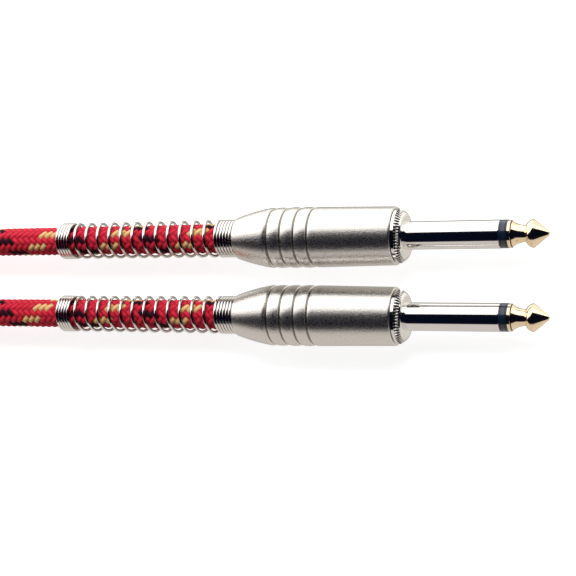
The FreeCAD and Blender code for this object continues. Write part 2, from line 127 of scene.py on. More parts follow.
def rounded_profile(corners, steps=4):
    """A closed (station, radius) outline whose corners with a third value are rounded by that radius."""
    outline = []
    for index, corner in enumerate(corners):
        here = Vector(corner[:2])
        if len(corner) < 3:
            outline.append(here)
            continue
        back = Vector(corners[index - 1][:2]) - here
        ahead = Vector(corners[(index + 1) % len(corners)][:2]) - here
        half = back.angle(ahead) / 2
        trim = min(corner[2] / math.tan(half), 0.45 * back.length, 0.45 * ahead.length)
        radius = trim * math.tan(half)
        start, end = here + back.normalized() * trim, here + ahead.normalized() * trim
        centre = here + (back.normalized() + ahead.normalized()).normalized() * math.hypot(trim, radius)
        first, last = start - centre, end - centre
        sweep = first.angle_signed(last)
        for step in range(steps + 1):
            angle = -sweep * step / steps
            outline.append(centre + Matrix.Rotation(angle, 2) @ first)
    return outline


def arc(start, end, radius, steps=12):
    """Points on an arc after start, up to and with end. A positive radius bulges to the left."""
    a, b = Vector(start), Vector(end)
    chord = b - a
    half = chord.length / 2
    left = Vector((-chord.y, chord.x)).normalized() * math.copysign(1, radius)
    centre = (a + b) / 2 - left * math.sqrt(radius * radius - half * half)
    first = a - centre
    sweep = 2 * math.asin(half / abs(radius)) * math.copysign(1, radius)
    turned = [centre + Matrix.Rotation(-sweep * k / steps, 2) @ first for k in range(1, steps + 1)]
    return [tuple(p) for p in turned]


def lathe(name, plug, body, material, profile, sides=128, radius_at=None, sharp=40):
    """A closed outline of (station, radius) in mm turned about a plug's axis.

    radius_at can shape each ring. The piece's UVs are turns around and the station.
    """
    axis, rings, points, uvs = AXIS[plug], [], [], []
    for station, radius in profile:
        x = BARREL_REAR + station * MM
        if radius < 1e-6:
            rings.append([len(points)])
            points.append((x, axis.y, axis.z))
            uvs.append((0.5, station))
            continue
        ring = []
        for k in range(sides):
            angle = 2 * math.pi * k / sides
            r = (radius_at(station, radius, k, sides) if radius_at else radius) * MM
            ring.append(len(points))
            points.append((x, axis.y + r * math.cos(angle), axis.z + r * math.sin(angle)))
            uvs.append((k / sides, station))
        rings.append(ring)
    faces = []
    closed = len(rings[0]) > 1 or len(rings[-1]) > 1
    pairs = list(zip(rings, rings[1:] + rings[:1])) if closed else list(zip(rings, rings[1:]))
    for first, second in pairs:
        for k in range(sides):
            a, b = first[k % len(first)], first[(k + 1) % len(first)]
            c, d = second[(k + 1) % len(second)], second[k % len(second)]
            faces.append(tuple(dict.fromkeys((a, b, c, d))))
    faces = [f for f in faces if len(f) > 2]
    piece = add_mesh(name, points, faces, material, body, sharp)
    lay_uvs(piece.data, np.array(uvs))
    return piece


def unit(vectors):
    """Each row brought to length one."""
    return vectors / np.linalg.norm(vectors, axis=1)[:, None]


def line_length(points):
    return float(np.linalg.norm(np.diff(points, axis=0), axis=1).sum())


def path_frames(path):
    """For each point of a path, a level side and an upward normal."""
    tangent = unit(np.gradient(path, axis=0))
    side = unit(np.cross(tangent, (0.0, 0.0, 1.0)))
    return side, np.cross(side, tangent)


def tube_points(path, side, up, radius, sides):
    """Rings of points about each point of a path, all in metres."""
    angle = 2 * math.pi * np.arange(sides) / sides
    ring = np.cos(angle)[None, :, None] * side[:, None] + np.sin(angle)[None, :, None] * up[:, None]
    return (path[:, None] + radius * ring).reshape(-1, 3)


def ring_faces(counts):
    """Faces of a tube of rings, capped at both ends. Where the count of points changes, faces fan out."""
    faces, start = [], 0
    faces.append(tuple(range(counts[0])))
    for here, after in zip(counts, counts[1:]):
        following = start + here
        coarse = min(here, after)
        fan_here, fan_after = here // coarse, after // coarse
        for k in range(coarse):
            low = [start + (k * fan_here + i) % here for i in range(fan_here + 1)]
            high = [following + (k * fan_after + i) % after for i in range(fan_after + 1)]
            faces.append(tuple(low[::-1] + high))
        start = following
    faces.append(tuple(range(start + counts[-1] - 1, start - 1, -1)))
    return faces


# ---- material helpers ----


class Graph:
    """An emptied node tree, with short calls for its node maths."""

    def __init__(self, tree):
        self.tree = tree
        tree.nodes.clear()

    def add(self, kind, **settings):
        node = self.tree.nodes.new(kind)
        for key, value in settings.items():
            setattr(node, key, value)
        return node

    def put(self, socket, value):
        """Set or link a socket."""
        if isinstance(value, bpy.types.NodeSocket):
            self.tree.links.new(value, socket)
        else:
            socket.default_value = value

    def math(self, operation, *values):
        node = self.add("ShaderNodeMath", operation=operation)
        for socket, value in zip(node.inputs, values):
            self.put(socket, value)
        return node.outputs[0]

    def times(self, first, second):
        return self.math("MULTIPLY", first, second)

    def apart(self, first, second):
        """How far two values lie apart."""
        return self.math("ABSOLUTE", self.math("SUBTRACT", first, second))

    def place(self, kind):
        """The three coordinates of where a point lies."""
        node = self.add("ShaderNodeSeparateXYZ")
        self.put(node.inputs[0], self.add("ShaderNodeTexCoord").outputs[kind])
        return tuple(node.outputs)

    def rise(self, value, start, end):
        """A smooth 0 to 1 while the value goes from start to end."""
        node = self.add("ShaderNodeMapRange", interpolation_type="SMOOTHSTEP")
        self.put(node.inputs["Value"], value)
        node.inputs["From Min"].default_value = start
        node.inputs["From Max"].default_value = end
        return node.outputs[0]

    def mix(self, share, first, second):
        """A mix of two colours."""
        node = self.add("ShaderNodeMix", data_type="RGBA")
        self.put(node.inputs[0], share)
        for socket, colour in ((node.inputs[6], first), (node.inputs[7], second)):
            self.put(socket, (*colour, 1) if isinstance(colour, tuple) else colour)
        return node.outputs[2]


class Paint(Graph):
    """A node material around one Principled shader."""

    def __init__(self, name, colour, roughness, metallic=0.0, **sockets):
        self.material = bpy.data.materials.new(name)
        self.material.use_nodes = True
        super().__init__(self.material.node_tree)
        self.shader = self.add("ShaderNodeBsdfPrincipled")
        output = self.add("ShaderNodeOutputMaterial")
        self.tree.links.new(self.shader.outputs[0], output.inputs[0])
        self.set("Base Color", (*colour, 1))
        self.set("Roughness", roughness)
        self.set("Metallic", metallic)
        for socket, value in sockets.items():
            self.set(socket.replace("_", " "), value)

    def set(self, socket, value):
        """Set or link a socket of the shader."""
        self.put(self.shader.inputs[socket], value)

    def noise(self, scale, detail=2.0, stretch=(1, 1, 1)):
        mapping = self.add("ShaderNodeMapping")
        mapping.inputs["Scale"].default_value = stretch
        self.put(mapping.inputs["Vector"], self.add("ShaderNodeTexCoord").outputs["Object"])
        node = self.add("ShaderNodeTexNoise")
        self.put(node.inputs["Vector"], mapping.outputs[0])
        node.inputs["Scale"].default_value = scale
        node.inputs["Detail"].default_value = detail
        return node.outputs[0]

    def spread(self, value, low, high):
        """A 0 to 1 value spread over another range."""
        node = self.add("ShaderNodeMapRange")
        self.put(node.inputs["Value"], value)
        node.inputs["To Min"].default_value = low
        node.inputs["To Max"].default_value = high
        return node.outputs[0]

    def bump(self, height, depth, strength):
        """A bump of a height value over a depth in metres."""
        node = self.add("ShaderNodeBump")
        self.put(node.inputs["Height"], height)
        node.inputs["Distance"].default_value = depth
        node.inputs["Strength"].default_value = strength
        self.set("Normal", node.outputs[0])


# Painted shade: a dark line along the floor of each of a barrel's grooves.
GROOVE_SHADE_HALF = 0.065  # of the dark line in a barrel's groove, in groove pitches


def satin_nickel():
    """Bead-blasted nickel: a fine sparkling grain, a faint warm clouding and painted shade in the grooves.
    """
    paint = Paint("satin_nickel", (0.78, 0.75, 0.71), 0.3, 1.0)
    grain = paint.noise(4200.0, 3.0)
    cloud = paint.noise(180.0, 2.0)
    tone = paint.spread(grain, 0.0, 1.0)
    speckle = paint.mix(tone, (0.70, 0.67, 0.635), (0.90, 0.875, 0.84))
    metal = paint.mix(paint.spread(cloud, 0.0, 0.35), speckle, (0.82, 0.785, 0.74))
    start = BARREL_REAR + (FIRST_GROOVE - GROOVE_PITCH / 2) * MM
    along = paint.math("SUBTRACT", paint.place("Object")[0], start)
    pitches = paint.math("DIVIDE", along, GROOVE_PITCH * MM)
    # Painted shade: the metal's colour darkens along the floor of each of the four grooves.
    shaded_groove = paint.math("LESS_THAN", paint.apart(paint.math("FRACT", pitches), 0.5), GROOVE_SHADE_HALF)
    in_band = paint.math("LESS_THAN", paint.apart(pitches, GROOVES / 2), GROOVES / 2)
    groove_shade = paint.times(paint.times(shaded_groove, in_band), 0.75)
    paint.set("Base Color", paint.mix(groove_shade, metal, (0.20, 0.175, 0.15)))
    paint.set("Roughness", paint.spread(paint.noise(2600.0, 2.0), 0.2, 0.38))
    paint.bump(grain, 0.00006, 0.55)
    return paint.material


def polished_nickel():
    """Bright nickel plate with the faint rings of a turned bar, and painted shade between the flange's
    teeth.
    """
    paint = Paint("polished_nickel", (0.86, 0.845, 0.82), 0.07, 1.0)
    rings = paint.noise(9000.0, 1.0, (1.0, 0.02, 0.02))
    bright = paint.mix(paint.noise(260.0), (0.82, 0.80, 0.775), (0.90, 0.89, 0.87))
    around, station = paint.place("UV")[:2]
    # Painted shade: the metal's colour darkens in the notches between the flange's teeth.
    tooth = paint.math("FRACT", paint.math("MULTIPLY_ADD", around, float(KNURL_TEETH), 0.5))
    notch = paint.math("GREATER_THAN", paint.times(paint.apart(tooth, 0.5), 2.0), 0.5)
    middle, half = (KNURL_REAR + KNURL_FRONT) / 2, (KNURL_FRONT - KNURL_REAR) / 2
    in_band = paint.math("LESS_THAN", paint.apart(station, middle), half)
    crevice_shade = paint.times(paint.times(notch, in_band), 0.88)
    paint.set("Base Color", paint.mix(crevice_shade, bright, (0.06, 0.055, 0.05)))
    paint.set("Roughness", paint.spread(paint.noise(700.0, 3.0), 0.04, 0.12))
    paint.bump(rings, 0.000002, 0.15)
    return paint.material


def spring_nickel():
    """Bright spring wire with painted shade on its flanks, where turns nearly touch."""
    paint = Paint("spring_nickel", (0.86, 0.845, 0.82), 0.07, 1.0)
    # Painted shade: the wire's colour darkens towards its flanks, where neighbouring turns nearly touch.
    turn = paint.times(paint.place("UV")[0], 2 * math.pi)
    flank = paint.math("ABSOLUTE", paint.math("COSINE", turn))
    crevice_shade = paint.times(paint.math("POWER", flank, 6.0), 0.85)
    bright = paint.mix(paint.noise(260.0), (0.80, 0.78, 0.75), (0.90, 0.885, 0.86))
    paint.set("Base Color", paint.mix(crevice_shade, bright, (0.10, 0.09, 0.08)))
    paint.set("Roughness", paint.spread(paint.noise(700.0, 3.0), 0.05, 0.14))
    paint.bump(paint.noise(1500.0, 2.0), 0.000004, 0.3)
    return paint.material


def gold_plate():
    """Pale polished gold with slight wear to a brighter metal and painted shade in front of the collar."""
    paint = Paint("gold_contact", (1.0, 0.82, 0.57), 0.1, 1.0)
    wear = paint.noise(420.0, 3.0)
    gold = paint.mix(paint.spread(wear, 0.0, 0.6), (1.0, 0.79, 0.53), (1.0, 0.87, 0.66))
    # Painted shade: the gold darkens in a thin ring in the groove in front of the collar.
    groove = BARREL_REAR + (COLLAR_FRONT + 0.1) * MM
    shaded_groove = paint.math("LESS_THAN", paint.apart(paint.place("Object")[0], groove), 0.11 * MM)
    groove_shade = paint.times(shaded_groove, 0.9)
    paint.set("Base Color", paint.mix(groove_shade, gold, (0.10, 0.055, 0.02)))
    paint.set("Roughness", paint.spread(paint.noise(900.0, 2.0), 0.07, 0.16))
    paint.bump(paint.noise(9000.0, 1.0, (1.0, 0.02, 0.02)), 0.000002, 0.15)
    return paint.material


def black_plastic():
    """Glossy black moulded insulator."""
    paint = Paint("black_insulator", (0.004, 0.011, 0.026), 0.22, Coat_Weight=0.6, Coat_Roughness=0.08)
    paint.set("Roughness", paint.spread(paint.noise(1500.0), 0.16, 0.3))
    paint.bump(paint.noise(3000.0, 1.0), 0.000006, 0.3)
    return paint.material


def plain_metal(name, dark, light, roughness, grain=900.0):
    """Stamped or cast metal with mottled plating."""
    paint = Paint(name, light, roughness, 1.0)
    mottle = paint.noise(grain, 4.0)
    paint.set("Base Color", paint.mix(mottle, dark, light))
    paint.set("Roughness", paint.spread(mottle, roughness * 0.7, roughness * 1.4))
    paint.bump(paint.noise(grain * 2.0, 2.0), 0.00002, 0.4)
    return paint.material


def plain_plastic(name, dark, light, roughness, grain=1200.0):
    """Moulded or extruded plastic or pressed fibre."""
    paint = Paint(name, light, roughness)
    mottle = paint.noise(grain, 4.0)
    paint.set("Base Color", paint.mix(mottle, dark, light))
    paint.set("Roughness", paint.spread(mottle, roughness * 0.85, roughness * 1.15))
    paint.bump(mottle, 0.000015, 0.4)
    return paint.material


# ---- braid ----

YARNS = 12  # in each direction around the cable
BRAID_PITCH = 20.65 * MM
FIRST_BLACK = 9  # the first of three dark yarns among the right-handed ones
FIRST_GOLD = 0  # the first of three gold yarns among the left-handed ones
FLECK_YARNS = 3
FILAMENTS = 5.0  # across a yarn
ARCH_FALL, EDGE_POWER = 0.6, 2.5  # how a float sinks at its ends and at its edges


def braid_paint():
    """Two sets of yarns crossing over two and under two. The UVs are turns around and pitches along."""
    paint = Paint("braided_jacket", (0.6, 0.02, 0.05), 0.62, Sheen_Weight=0.04, Sheen_Roughness=0.4,
                  Specular_IOR_Level=0.1)
    around, along = paint.place("UV")[:2]
    right = paint.times(paint.math("ADD", around, along), YARNS)
    left = paint.times(paint.math("SUBTRACT", around, along), YARNS)
    right_yarn, left_yarn = paint.math("FLOOR", right), paint.math("FLOOR", left)
    right_part, left_part = paint.math("FRACT", right), paint.math("FRACT", left)
    column = paint.math("FLOORED_MODULO", paint.math("ADD", right_yarn, left_yarn), 4.0)
    left_on_top = paint.math("GREATER_THAN", column, 1.5)

    def choose(first, second):
        """first where a right-handed yarn is on top, second where a left-handed one is."""
        node = paint.add("ShaderNodeMix", data_type="FLOAT")
        paint.put(node.inputs[0], left_on_top)
        paint.put(node.inputs[2], first)
        paint.put(node.inputs[3], second)
        return node.outputs[0]

    across = paint.math("SUBTRACT", choose(right_part, left_part), 0.5)
    late = paint.math("FLOORED_MODULO", column, 2.0)
    along_float = paint.math("SUBTRACT", paint.math("ADD", choose(left_part, right_part), late), 1.0)
    arch = paint.math("SUBTRACT", 1.0, paint.times(ARCH_FALL, paint.math("POWER", along_float, 2.0)))
    edge = paint.math("POWER", paint.times(paint.math("ABSOLUTE", across), 2.0), EDGE_POWER)
    height = paint.times(arch, paint.math("SUBTRACT", 1.0, edge))

    def is_fleck(yarn, first):
        """1 on the three fleck yarns of one set."""
        index = paint.math("FLOORED_MODULO", paint.math("SUBTRACT", yarn, float(first)), float(YARNS))
        return paint.math("LESS_THAN", index, FLECK_YARNS - 0.5)

    black = paint.times(is_fleck(right_yarn, FIRST_BLACK), paint.math("SUBTRACT", 1.0, left_on_top))
    gold = paint.times(is_fleck(left_yarn, FIRST_GOLD), left_on_top)
    filament = paint.math("SINE", paint.times(across, 2 * math.pi * FILAMENTS))
    fibre = paint.times(paint.math("ADD", filament, 1.0), 0.5)
    fuzz = paint.noise(5200.0, 2.0)
    red = paint.mix(fuzz, (0.44, 0.008, 0.024), (0.68, 0.030, 0.058))
    colour = paint.mix(black, red, (0.002, 0.002, 0.007))
    colour = paint.mix(gold, colour, (0.72, 0.44, 0.18))
    # Painted shade: the yarns darken in the creases between filaments and where a float sinks at its ends
    # and edges.
    colour = paint.mix(paint.spread(fibre, 0.10, 0.0), colour, (0.05, 0.0, 0.004))
    colour = paint.mix(paint.spread(height, 0.6, 0.0), colour, (0.10, 0.0, 0.008))
    paint.set("Base Color", colour)
    relief = paint.math("ADD", height, paint.times(fibre, 0.12))
    paint.bump(relief, 0.0003, 0.5)
    return paint.material


def braid_height(around, along):
    """How far the top yarn stands out, from 0 to 1, at turns around and pitches along."""
    right, left = YARNS * (around + along), YARNS * (around - along)
    column = np.mod(np.floor(right) + np.floor(left), 4)
    left_on_top = column > 1.5
    right_part, left_part = right - np.floor(right), left - np.floor(left)
    across = np.where(left_on_top, left_part, right_part) - 0.5
    along_float = np.where(left_on_top, right_part, left_part) + np.mod(column, 2) - 1
    return (1 - ARCH_FALL * along_float ** 2) * (1 - (2 * np.abs(across)) ** EDGE_POWER)


# ---- the cable's line ----

CUT_END = 7.5  # x at which the jacket is cut back, inside each barrel
LEAD_1 = [
    (-84.0, 9.0, 7.025), (-92.0, 9.0, 7.025), (-100.0, 10.2, 6.0), (-107.8, 12.7, 4.5),
    (-115.0, 16.4, 3.5), (-122.6, 19.4, 3.5), (-131.0, 21.0, 3.5), (-139.0, 21.0, 3.5),
]
LEAD_2 = [
    (-84.0, -9.0, 7.025), (-91.5, -9.0, 7.025), (-98.4, -10.2, 6.2), (-104.7, -12.6, 4.9),
    (-110.3, -16.2, 3.8), (-114.8, -20.7, 3.5), (-120.2, -24.3, 3.5), (-126.4, -26.8, 3.5),
    (-133.0, -28.0, 3.5), (-139.0, -28.0, 3.5),
]
FOLD_NEAR, FOLD_FAR = -139.0, -201.5
INNER_FOLD, OUTER_FOLD = 21.0, 28.0
LAYERS = 5
LAYER_HEIGHT = 7.0
TIE_LIFT = 1.2
RUN_POINTS = 4
FOLD_POINTS = 6


def smooth_step(share):
    share = min(max(share, 0.0), 1.0)
    return share * share * (3 - 2 * share)


def hank_run(start, end, y, level_start, level_end, lift):
    """Points of one straight side, climbing or sinking between layers and lifted over the tie."""
    points = []
    for k in range(RUN_POINTS):
        share = (k + 0.5) / RUN_POINTS
        x = start + (end - start) * share
        level = level_start + (level_end - level_start) * smooth_step(share)
        rise = lift * math.sin(math.pi * share) ** 2
        points.append((x, y, LAYER_HEIGHT * (level - 0.5) + rise))
    return points


def hank_fold(centre, way, radius_start, radius_end, level):
    """Points of one fold, whose polygon is drawn round the arc so that the spline runs along it."""
    points = []
    for k in range(FOLD_POINTS):
        share = (k + 0.5) / FOLD_POINTS
        angle = math.pi * share
        radius = radius_start + (radius_end - radius_start) * smooth_step(share)
        radius /= math.cos(math.pi / 2 / FOLD_POINTS)
        points.append((centre + way * radius * math.sin(angle), -way * radius * math.cos(angle),
                       LAYER_HEIGHT * (level - 0.5)))
    return points


def hank_points():
    """Ten turns: up through five layers of the inner column, then down through those of the outer one."""
    points = []
    for turn in range(2 * LAYERS):
        inner = turn < LAYERS
        radius = INNER_FOLD if inner else OUTER_FOLD
        far = turn + 1 if inner else 2 * LAYERS - turn
        near_in, near_out = (far, far + 1) if inner else (far + 1, far)
        points += hank_run(FOLD_NEAR, FOLD_FAR, radius, near_in, far, 0.0)
        points += hank_fold(FOLD_FAR, -1, radius, radius, far)
        points += hank_run(FOLD_FAR, FOLD_NEAR, -radius, far, near_out, TIE_LIFT)
        if turn < 2 * LAYERS - 1:
            following = INNER_FOLD if turn < LAYERS - 1 else OUTER_FOLD
            points += hank_fold(FOLD_NEAR, 1, radius, following, near_out)
    return points


def spline_points(controls):
    """Dense points of a NURBS line with these control points, in metres."""
    data = bpy.data.curves.new("cable_line", "CURVE")
    data.dimensions = "3D"
    spline = data.splines.new("NURBS")
    spline.points.add(len(controls) - 1)
    for point, place in zip(spline.points, controls):
        point.co = (*[c * MM for c in place], 1)
    spline.order_u = 3
    spline.use_endpoint_u = True
    spline.resolution_u = 12
    line = bpy.data.objects.new("cable_line", data)
    bpy.context.scene.collection.objects.link(line)
    bpy.context.view_layer.update()
    mesh = bpy.data.meshes.new_from_object(line)
    dense = np.array([v.co for v in mesh.vertices], float)
    bpy.data.objects.remove(line)
    bpy.data.meshes.remove(mesh)
    return dense


def cable_controls():
    """The whole cable, from the cut end in plug 1 through the hank to the cut end in plug 2."""
    first = (CUT_END, AXIS[1].y / MM, AXIS[1].z / MM)
    last = (CUT_END, AXIS[2].y / MM, AXIS[2].z / MM)
    return [first, *LEAD_1, *hank_points(), *LEAD_2[::-1], last]


FINE_STRETCH = 0.098  # of cable at each end whose yarns are modelled
FINE_STEP = 0.00034
COARSE_STEP = 0.0022
FINE_SIDES = 96
COARSE_SIDES = 32
YARN_RELIEF = 0.0004
COLUMN_SHIFT = -0.5 / (2 * YARNS)  # turns that bring a column of floats to the top of the cable
FIRST_SHIFT = -0.03  # pitches along, at plug 1 and at plug 2
SECOND_SHIFT = 0.3217


def resample(dense, stations):
    """Points at given distances along a dense line."""
    steps = np.linalg.norm(np.diff(dense, axis=0), axis=1)
    travelled = np.concatenate([[0.0], np.cumsum(steps)])
    return np.stack([np.interp(stations, travelled, dense[:, i]) for i in range(3)], axis=1)


def make_cable():
    """One mesh tube with modelled yarns near the plugs and a plainer surface in the hank."""
    dense = spline_points(cable_controls())
    length = line_length(dense)
    fine_count = round(FINE_STRETCH / FINE_STEP)
    coarse_count = round((length - 2 * FINE_STRETCH) / COARSE_STEP)
    near = np.linspace(0, FINE_STRETCH, fine_count + 1)
    middle = np.linspace(FINE_STRETCH, length - FINE_STRETCH, coarse_count + 1)[1:-1]
    stations = np.concatenate([near, middle, length - near[::-1]])
    path = resample(dense, stations)
    side, up = path_frames(path)

    # pitches along: exact at both plugs, and stretched a little over the hank to agree
    start_pitch = -path[0, 0] / BRAID_PITCH + FIRST_SHIFT
    end_pitch = path[-1, 0] / BRAID_PITCH + SECOND_SHIFT
    end_pitch += round(start_pitch + length / BRAID_PITCH - end_pitch)
    gap = end_pitch - start_pitch - length / BRAID_PITCH
    hidden = np.clip((stations - FINE_STRETCH) / (length - 2 * FINE_STRETCH), 0, 1)
    pitches = start_pitch + stations / BRAID_PITCH + gap * hidden

    counts = [FINE_SIDES] * len(near) + [COARSE_SIDES] * len(middle) + [FINE_SIDES] * len(near)
    points, uvs = [], []
    for place, level, normal, pitch, count in zip(path, side, up, pitches, counts):
        turns = np.arange(count) / count
        radius = CABLE_DIAMETER / 2 - 0.25 * YARN_RELIEF
        if count == FINE_SIDES:
            radius = CABLE_DIAMETER / 2 - YARN_RELIEF * (1 - braid_height(turns + COLUMN_SHIFT, pitch))
        radius = np.broadcast_to(radius, count)[:, None]
        angle = 2 * math.pi * turns[:, None]
        points.append(place + radius * (np.cos(angle) * level + np.sin(angle) * normal))
        uvs.append(np.stack([turns + COLUMN_SHIFT, np.full(count, pitch)], axis=1))
    faces = ring_faces(counts)
    cable = add_mesh("braided_cable", np.concatenate(points), faces, BRAID, "root", sharp=80)
    lay_uvs(cable.data, np.concatenate(uvs))
    nodes = [f"{name}_{n}" for name in ("cable_end", "cable_lead") for n in PLUGS]
    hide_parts(*nodes, "cable_hank")
    return cable, path


BRAID = braid_paint()
cable, cable_path = make_cable()


# ---- plug pieces ----

# Stations, forward from the rear face of the plug's barrel, and radii are in mm.
RIVET_REAR, RIVET_FRONT, ROD_RADIUS = 31.1, 31.6, 1.0
RING_REAR, RING_FRONT, RING_RADIUS, RING_BORE = 62.65, 64.35, 3.13, 1.05
COLLAR_RADIUS = 3.05
SHOULDER, TIP_END = 69.5, 73.1
SLEEVE_REAR, SLEEVE_BORE = 33.3, 1.85
SHAFT_RADIUS, SHAFT_FRONT = 3.175, 62.64
BOSS_RADIUS = 4.62  # at the roots of its thread
FLANGE_REAR, FLANGE_FRONT, FLANGE_RADIUS = 39.3, 41.65, 6.15
KNURL_BOTTOM = 5.42
RIDGE = 0.3  # share of a tooth's pitch that its flat top takes
THREAD_TURNS, THREAD_CREST = 5, 0.1
BARREL_START, BARREL_FRONT = 0.5, 39.2
BARREL_BORE, BARREL_LIP = 5.0, 4.62  # radii of the bore and of the narrower hole at the rear
SPRING_SEAT = 4.2  # where the bore narrows, which holds the spring's flare
BOSS_THREAD, BARREL_THREAD = 34.0, 38.6  # where the threads start
BOSS_CREST, BARREL_CREST = 4.93, 5.22
CONE_END, CONE_ARC = (9.1, 7.0), 50.0
GROOVE_HALF, GROOVE_EDGE, GROOVE_FLOOR = 0.32, 6.84, 6.45
BEAD_ARC = 5.5


def make_tip(plug, material):
    """The tip and its rod: a collar with a fine groove in front, a hollow neck, a shoulder and a cone."""
    profile = [(RIVET_REAR, 0.0), (RIVET_REAR, 1.25), (RIVET_REAR + 0.15, 1.45), (RIVET_FRONT, 1.45)]
    profile += [(RIVET_FRONT, ROD_RADIUS), (RING_FRONT, ROD_RADIUS)]
    profile += [(RING_FRONT, COLLAR_RADIUS - 0.1), (RING_FRONT + 0.08, COLLAR_RADIUS)]
    profile += [(COLLAR_FRONT - 0.04, COLLAR_RADIUS), (COLLAR_FRONT, COLLAR_RADIUS - 0.05)]
    profile += [(COLLAR_FRONT + 0.05, 2.66), (COLLAR_FRONT + 0.15, 2.64), (COLLAR_FRONT + 0.22, 2.78)]
    profile += arc(profile[-1], (67.7, 1.88), -5.0, 14)
    profile += [(67.95, 1.84), (68.06, 1.85)]
    profile += arc(profile[-1], (SHOULDER, 3.09), 2.1, 12)
    profile += arc(profile[-1], (SHOULDER + 0.45, 2.98), 0.45, 5)
    profile += [(SHOULDER + 0.5, 2.94), (TIP_END - 0.4, 0.76), (TIP_END - 0.35, 0.72)]
    profile += arc(profile[-1], (TIP_END, 0.0), 0.75, 6)
    tip = lathe(f"tip_{plug}", plug, "root", material, profile, sharp=35)
    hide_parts(f"tip_contact_{plug}")


def make_ring(plug, material):
    """The black ring between tip and shaft, with a fine groove near each edge."""
    corners = [(RING_REAR, RING_BORE), (RING_REAR, RING_RADIUS, 0.06)]
    for groove in (RING_REAR + 0.3, RING_FRONT - 0.3):
        corners += [(groove - 0.05, RING_RADIUS), (groove, RING_RADIUS - 0.07)]
        corners += [(groove + 0.05, RING_RADIUS)]
    corners += [(RING_FRONT, RING_RADIUS, 0.06), (RING_FRONT, RING_BORE)]
    ring = lathe(f"insulator_ring_{plug}", plug, "root", material, rounded_profile(corners))
    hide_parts(f"tip_insulator_{plug}")


def knurl(station, radius, k, sides):
    """Straight teeth on the flange's chamfer, and plain rings elsewhere."""
    if not KNURL_REAR < station < KNURL_FRONT or radius < KNURL_BOTTOM:
        return radius
    from_ridge = abs((k * KNURL_TEETH / sides + 0.5) % 1.0 - 0.5) * 2
    flank = min(1.0, max(0.0, (from_ridge - RIDGE) / (1 - RIDGE)))
    return radius - (radius - KNURL_BOTTOM) * flank


def thread(start, way, root, crest, flank):
    """The outline of a thread's ridges, 1 mm apart, forward (way 1) or back (way -1) from a station."""
    far = flank + THREAD_CREST
    ridge = ((0.0, root), (flank, crest), (far, crest), (far + flank, root))
    return [(start + way * (turn + step), radius)
            for turn in range(THREAD_TURNS) for step, radius in ridge]


def make_sleeve(plug, material):
    """The shaft, the flange with its toothed chamfer and the threaded boss, turned from one bar."""
    profile = [(SLEEVE_REAR, SLEEVE_BORE), (SLEEVE_REAR, BOSS_RADIUS - 0.07)]
    profile += [(SLEEVE_REAR + 0.3, BOSS_RADIUS)]
    profile += thread(BOSS_THREAD, 1, BOSS_RADIUS, BOSS_CREST, 0.4)
    profile += [(FLANGE_REAR, BOSS_RADIUS), (FLANGE_REAR, FLANGE_RADIUS - 0.1)]
    profile += [(FLANGE_REAR + 0.1, FLANGE_RADIUS)]
    profile += [(KNURL_REAR - 0.01, FLANGE_RADIUS), (KNURL_REAR + 0.01, FLANGE_RADIUS)]
    profile += [(40.4, 5.93), (40.75, 5.66)]
    profile += [(KNURL_FRONT - 0.02, KNURL_BOTTOM), (KNURL_FRONT + 0.02, 5.36)]
    profile += arc(profile[-1], (FLANGE_FRONT - 0.05, 4.3), 1.3, 8)
    profile += [(FLANGE_FRONT - 0.01, 3.7), (FLANGE_FRONT, SHAFT_RADIUS + 0.05)]
    profile += [(FLANGE_FRONT + 0.05, SHAFT_RADIUS), (FLANGE_FRONT + 0.15, SHAFT_RADIUS)]
    profile += [(SHAFT_FRONT - 0.24, SHAFT_RADIUS), (SHAFT_FRONT - 0.14, SHAFT_RADIUS)]
    profile += [(SHAFT_FRONT - 0.04, SHAFT_RADIUS - 0.03), (SHAFT_FRONT, SHAFT_RADIUS - 0.1)]
    profile += [(SHAFT_FRONT, SLEEVE_BORE)]
    sleeve = lathe(f"sleeve_contact_{plug}", plug, "root", material, profile, KNURL_TEETH * 8,
                   radius_at=knurl, sharp=30)
    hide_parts(f"plug_sleeve_{plug}")


def make_barrel(plug, material):
    """The barrel: an ogive rear, four ring grooves, a slightly tapered front and a threaded bore."""
    profile = [(BARREL_START, BARREL_LIP), (BARREL_START, 4.76), (BARREL_START + 0.06, 4.9)]
    profile += arc(profile[-1], CONE_END, CONE_ARC, 22)
    for groove in range(GROOVES):
        centre = FIRST_GROOVE + groove * GROOVE_PITCH
        if groove:
            profile += arc(profile[-1], (centre - GROOVE_HALF, GROOVE_EDGE), BEAD_ARC, 8)
        else:
            profile += [(centre - GROOVE_HALF - 0.25, 6.98), (centre - GROOVE_HALF, GROOVE_EDGE)]
        profile += [(centre - 0.12, GROOVE_FLOOR + 0.05), (centre, GROOVE_FLOOR)]
        profile += [(centre + 0.12, GROOVE_FLOOR + 0.05), (centre + GROOVE_HALF, GROOVE_EDGE)]
    profile += [(20.35, 6.89), (20.6, 6.92), (21.2, 6.93), (21.3, 6.928)]
    profile += [(BARREL_FRONT - 0.4, 6.602), (BARREL_FRONT - 0.3, 6.6)]
    profile += arc(profile[-1], (BARREL_FRONT, 6.34), 0.3, 5)
    profile += [(BARREL_FRONT, BARREL_BORE + 0.15), (BARREL_FRONT - 0.15, BARREL_BORE)]
    profile += thread(BARREL_THREAD, -1, BARREL_BORE, BARREL_CREST, 0.3)
    profile += [(33.4, BARREL_BORE), (SPRING_SEAT, BARREL_BORE)]
    profile += [(SPRING_SEAT, BARREL_LIP + 0.08), (SPRING_SEAT - 0.08, BARREL_LIP)]
    barrel = lathe(f"barrel_shell_{plug}", plug, f"barrel_body_{plug}", material, profile, 192, sharp=35)
    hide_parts(f"barrel_{plug}")


